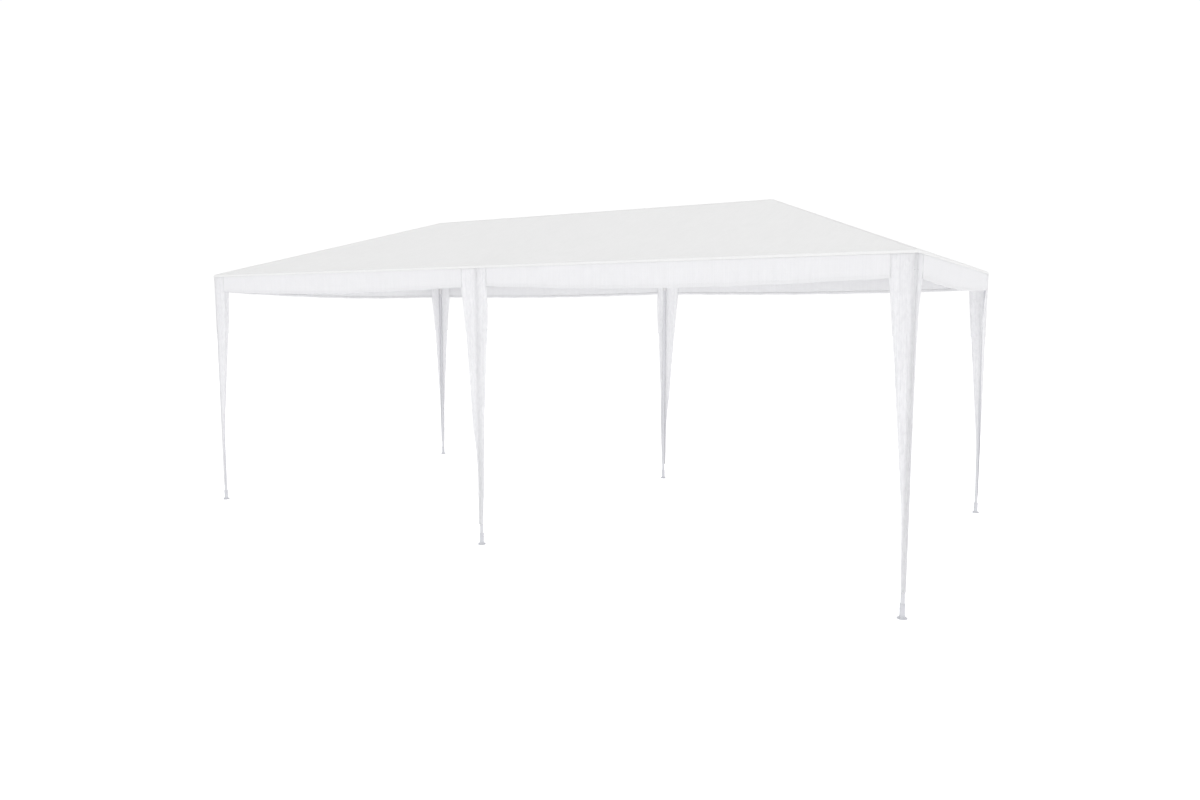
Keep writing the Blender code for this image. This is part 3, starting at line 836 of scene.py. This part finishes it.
# %% A profile carried along a path
def turned(start, end, profile, sides):
    """Rings along the line from start to end. A ring at distance d with radius r has the points
    start + d n + r (cos a u + sin a v), with n along the line and u, v square to it."""
    start, end = np.array(start, float), np.array(end, float)
    n = (end - start) / np.linalg.norm(end - start)
    helper = np.array([0.0, 0.0, 1.0]) if abs(n[2]) < 0.9 else np.array([1.0, 0.0, 0.0])
    u = np.cross(helper, n)
    u /= np.linalg.norm(u)
    v = np.cross(n, u)
    d, r = np.array(profile, float).T
    a = np.linspace(0, TAU, sides, endpoint=False)
    circle = np.cos(a)[:, None] * u + np.sin(a)[:, None] * v
    points = start + d[:, None, None] * n + r[:, None, None] * circle[None]
    return points.reshape(-1, 3), grid_faces(len(d), sides, closed=True)


def sharpen(piece, degrees=34):
    """Keeps edges crisp where two faces meet at more than this angle."""
    piece.data.set_sharp_from_angle(angle=math.radians(degrees))


TUBE_SIDES = 28
STEP = 0.0009            # how much thinner a tube is where it is pressed to fit into the next one


def joint_profile(length, joints):
    """A tube's profile from end to end, with a pressed step at each joint's distance."""
    profile = [(0, 0), (0, TUBE_R - 0.0006), (0.0006, TUBE_R)]
    for at in joints:
        profile += [(at - 0.010, TUBE_R), (at - 0.003, TUBE_R - STEP), (at, TUBE_R - STEP),
                    (at, TUBE_R - 0.0003), (at + 0.0006, TUBE_R)]
    return profile + [(length - 0.0006, TUBE_R), (length, TUBE_R - 0.0006), (length, 0)]


def tube(name, start, end, joints, node):
    """A tube between two points, standing for the CAD bar of that node."""
    length = math.dist(start, end)
    points, faces = turned(start, end, joint_profile(length, [share * length for share in joints]), TUBE_SIDES)
    piece = mesh_piece(name, points, faces, powder_coat)
    weld(piece)
    sharpen(piece)
    return settle(piece, "steel_tube", node)


# %% [markdown]
# ## The frame's tubes
# Each long tube of the real frame comes as two lengths, so that the tent fits in its box, and the
# end of one is pressed thinner to slide into the other. The places of the connectors give every
# tube's ends, and a tube stops short of a connector's centre, at the seat in its socket.

# %% Tubes
eave_hub = {(t, s): np.array([tx * LEG_X, sy * LEG_Y, EAVE_Z]) for t, tx in STATIONS.items() for s, sy in SIDES.items()}
ridge_hub = {t: np.array([tx * RIDGE_X, 0.0, RIDGE_Z]) for t, tx in STATIONS.items()}
FOOT_SEAT = 0.0053


def between_hubs(name, a, b, joints, node):
    """A tube between two connectors, seated in a socket of each."""
    inset = (b - a) / np.linalg.norm(b - a) * SEAT
    return tube(name, a + inset, b - inset, joints, node)


tubes = []
for s in SIDES:
    for t in STATIONS:
        top = eave_hub[t, s]
        ground = np.array([top[0], top[1], FOOT_SEAT])
        tubes.append(tube(f"leg_tube_{s}_{t}", ground, top - [0, 0, SEAT], [0.50], f"leg_{s}_{t}"))
    for t in ("left", "right"):
        tubes.append(between_hubs(f"eave_rail_{s}_{t}", eave_hub[t, s], eave_hub["mid", s], [0.5], f"eave_tube_{s}_{t}"))
        tubes.append(between_hubs(f"hip_bar_{s}_{t}", eave_hub[t, s], ridge_hub[t], [0.5], f"hip_rafter_{s}_{t}"))
    tubes.append(between_hubs(f"mid_bar_{s}", eave_hub["mid", s], ridge_hub["mid"], [], f"mid_rafter_{s}"))
for t in ("left", "right"):
    tubes.append(between_hubs(f"eave_rail_{t}", eave_hub[t, "front"], eave_hub[t, "back"], [0.5], f"eave_tube_{t}"))
    tubes.append(between_hubs(f"ridge_bar_{t}", ridge_hub[t], ridge_hub["mid"], [], f"ridge_tube_{t}"))
print(len(tubes), "tubes")

# %% [markdown]
# ## The moulded connectors
# A connector is a round boss with a socket for each tube. Each socket has two stiffening rings and
# a bead round its mouth, where the plastic would otherwise split when a tube is forced in. The rim
# turns in to the bore, so that one sees the wall's thickness round the tube.

# %% Connectors
SOCKET_R = 0.0155
SOCKET_REACH = 0.095
BORE_R = TUBE_R + 0.0003
HUB_R = 0.0182


def socket_profile():
    """Out along the socket, over its rings and its bead, round the rim and back down the bore."""
    profile = [(0.0, 0.0), (0.0, SOCKET_R)]
    for at in (0.034, 0.062):
        profile += [(at - 0.0025, SOCKET_R), (at - 0.0015, SOCKET_R + 0.0011), (at + 0.0015, SOCKET_R + 0.0011),
                    (at + 0.0025, SOCKET_R)]
    rim = np.linspace(0, math.pi, 7)
    bead = [(SOCKET_REACH - 0.0032 + 0.0032 * math.sin(a), SOCKET_R + 0.0004 + 0.0014 * math.cos(a)) for a in rim]
    profile += [(SOCKET_REACH - 0.0090, SOCKET_R), (SOCKET_REACH - 0.0070, SOCKET_R + 0.0018)] + bead
    return profile + [(SOCKET_REACH - 0.0030, BORE_R), (SEAT - 0.0003, BORE_R), (SEAT - 0.0003, 0.0)]


def ball(centre, radius, rows=14, columns=28):
    """A sphere: radius times (sin b cos a, sin b sin a, cos b), with b from pole to pole."""
    b = np.linspace(np.pi, 0, rows)[:, None]
    a = np.linspace(0, TAU, columns, endpoint=False)[None, :]
    points = np.stack([np.sin(b) * np.cos(a), np.sin(b) * np.sin(a), np.cos(b) + 0 * a], -1) * radius
    return (points + centre).reshape(-1, 3), grid_faces(rows, columns, closed=True)


def connector(name, centre, ends, node):
    """A boss with a socket towards each of the points in ends."""
    parts = [ball(centre, HUB_R)]
    for end in ends:
        parts.append(turned(centre, end, socket_profile(), TUBE_SIDES))
    points, faces = join(parts)
    piece = mesh_piece(name, points, faces, moulded_pp)
    weld(piece, 0.00002)
    sharpen(piece, 40)
    return settle(piece, "connector_plastic", node)


down = np.array([0.0, 0.0, -1.0])
for (t, s), hub in eave_hub.items():
    if t == "mid":
        ends = [hub + down, ridge_hub["mid"], eave_hub["left", s], eave_hub["right", s]]
        connector(f"mid_joint_{s}", hub, ends, f"mid_connector_{s}")
    else:
        other = eave_hub[t, "back" if s == "front" else "front"]
        connector(f"corner_joint_{s}_{t}", hub, [hub + down, ridge_hub[t], eave_hub["mid", s], other],
                  f"corner_connector_{s}_{t}")
for t, hub in ridge_hub.items():
    ends = [eave_hub[t, "front"], eave_hub[t, "back"]]
    if t == "mid":
        connector("ridge_mid_joint", hub, ends + [ridge_hub["left"], ridge_hub["right"]], "ridge_mid_connector")
    else:
        connector(f"ridge_end_joint_{t}", hub, ends + [ridge_hub["mid"]], f"ridge_end_connector_{t}")
print("connectors done")

# %% [markdown]
# ## The feet
# Each leg stands in a small moulded foot: a round plate that spreads the load, a low flare, and a
# slim sleeve with two raised bands. All of it is turned, so one profile gives the whole foot, and
# four thin ribs brace the sleeve on the plate.

# %% Feet
PLATE_R = float(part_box("foot_front_left")[1][0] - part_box("foot_front_left")[0][0]) / 2
FOOT_TOP = float(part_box("foot_front_left")[1][2])
BANDS = (0.058, 0.074)   # heights of the raised bands


def foot_profile():
    """From the middle of the sole out, up over the plate's edge and flare, up the sleeve and back
    down inside it."""
    profile = [(0.0, 0.0), (0.0, PLATE_R - 0.0006), (0.0006, PLATE_R), (0.0036, PLATE_R),
               (0.0046, PLATE_R - 0.0010), (0.0050, PLATE_R - 0.0050), (0.0064, 0.0205), (0.0100, 0.0180),
               (0.0160, 0.0164), (0.0220, SOCKET_R)]
    for at in BANDS:
        profile += [(at - 0.0020, SOCKET_R), (at - 0.0010, SOCKET_R + 0.0012), (at + 0.0010, SOCKET_R + 0.0012),
                    (at + 0.0020, SOCKET_R)]
    return profile + [(FOOT_TOP - 0.0020, SOCKET_R), (FOOT_TOP - 0.0006, SOCKET_R - 0.0005), (FOOT_TOP, SOCKET_R - 0.0014),
                      (FOOT_TOP - 0.0010, BORE_R), (0.0050, BORE_R), (0.0050, 0.0)]


def ribs(centre, count):
    """Thin upright plates round the sleeve: each is a slab between two outlines, 0.7 mm either side
    of a radius, with corners at the sleeve, its foot and out on the plate."""
    outline = np.array([(SOCKET_R - 0.0005, 0.0048), (0.0250, 0.0048), (0.0250, 0.0058), (SOCKET_R - 0.0005, 0.0190)])
    angle = np.arange(count) * TAU / count + TAU / 8
    out = np.stack([np.cos(angle), np.sin(angle), 0 * angle], -1)
    side = np.stack([-np.sin(angle), np.cos(angle), 0 * angle], -1)
    flat = outline[None, :, :1] * out[:, None, :] + outline[None, :, 1:] * np.array([0.0, 0.0, 1.0])
    slabs = np.stack([flat + 0.0007 * side[:, None, :], flat - 0.0007 * side[:, None, :]], 1)
    points = slabs.reshape(-1, 3) + np.array([centre[0], centre[1], 0.0])
    box = np.array([(0, 1, 2, 3), (7, 6, 5, 4), (0, 4, 5, 1), (1, 5, 6, 2), (2, 6, 7, 3), (3, 7, 4, 0)])
    return points, (box[None] + 8 * np.arange(count)[:, None, None]).reshape(-1, 4)


for (t, s), hub in eave_hub.items():
    body = turned((hub[0], hub[1], 0.0), (hub[0], hub[1], 1.0), foot_profile(), 40)
    foot = mesh_piece(f"foot_cup_{s}_{t}", *join([body, ribs(hub, 4)]), foot_pp)
    weld(foot, 0.00002)
    sharpen(foot, 40)
    settle(foot, "foot_plastic", f"foot_{s}_{t}")
print(f"feet: plates {2 * PLATE_R:.3f} m across, sleeves {FOOT_TOP:.3f} m high")

# %% [markdown]
# ## Floor, light and camera
# The tent stands on a plain white studio floor under an even white sky, so that its own greys come
# from its shape. The floor glows a little, which keeps the shadow below the roof as faint as it is
# in a catalogue picture, and one large soft light from the front left models the folds.

# %% Stage
floor_material, tree = new_material("studio_floor_white")
floor_shader = add_node(tree, "ShaderNodeBsdfPrincipled", {
    "Base Color": linear("#B8B8B8"), "Roughness": 0.9, "Emission Color": (1.0, 1.0, 1.0, 1.0), "Emission Strength": 0.86,
})
add_node(tree, "ShaderNodeOutputMaterial", {"Surface": floor_shader.outputs[0]})
reach = 60.0
floor_points = np.array([(-reach, -reach, -0.0005), (reach, -reach, -0.0005), (reach, reach, -0.0005), (-reach, reach, -0.0005)])
floor = mesh_piece("studio_floor", floor_points, np.array([(0, 1, 2, 3)]), floor_material)

world = bpy.data.worlds.new("white_sky")
world.use_nodes = True
world.node_tree.nodes["Background"].inputs["Color"].default_value = (1.0, 1.0, 1.0, 1.0)
world.node_tree.nodes["Background"].inputs["Strength"].default_value = 1.03
bpy.context.scene.world = world


def soft_light(name, place, target, size, power):
    """A square lamp at place, pointed at target."""
    lamp = bpy.data.lights.new(name, "AREA")
    lamp.shape = "SQUARE"
    lamp.size = size
    lamp.energy = power
    holder = bpy.data.objects.new(name, lamp)
    bpy.context.scene.collection.objects.link(holder)
    holder.location = place
    holder.rotation_euler = (Vector(target) - Vector(place)).to_track_quat("-Z", "Y").to_euler()
    return holder


soft_light("key_light", (6.0, -8.0, 9.0), (0.0, 0.0, 1.5), 5.0, 70.0)
bpy.context.scene.view_settings.view_transform = "Standard"

# %% Camera
YAW, PITCH = math.radians(-31.0), math.radians(-5.8)
CAMERA_PLACE = (3.90, -6.28, 1.69)
camera_data = bpy.data.cameras.new("catalogue_camera")
camera_data.sensor_width = 36.0
camera_data.lens = 25.5
camera = bpy.data.objects.new("catalogue_camera", camera_data)
camera.location = CAMERA_PLACE
camera.rotation_euler = (math.pi / 2 + PITCH, 0.0, -YAW)
bpy.context.scene.collection.objects.link(camera)
bpy.context.scene.camera = camera
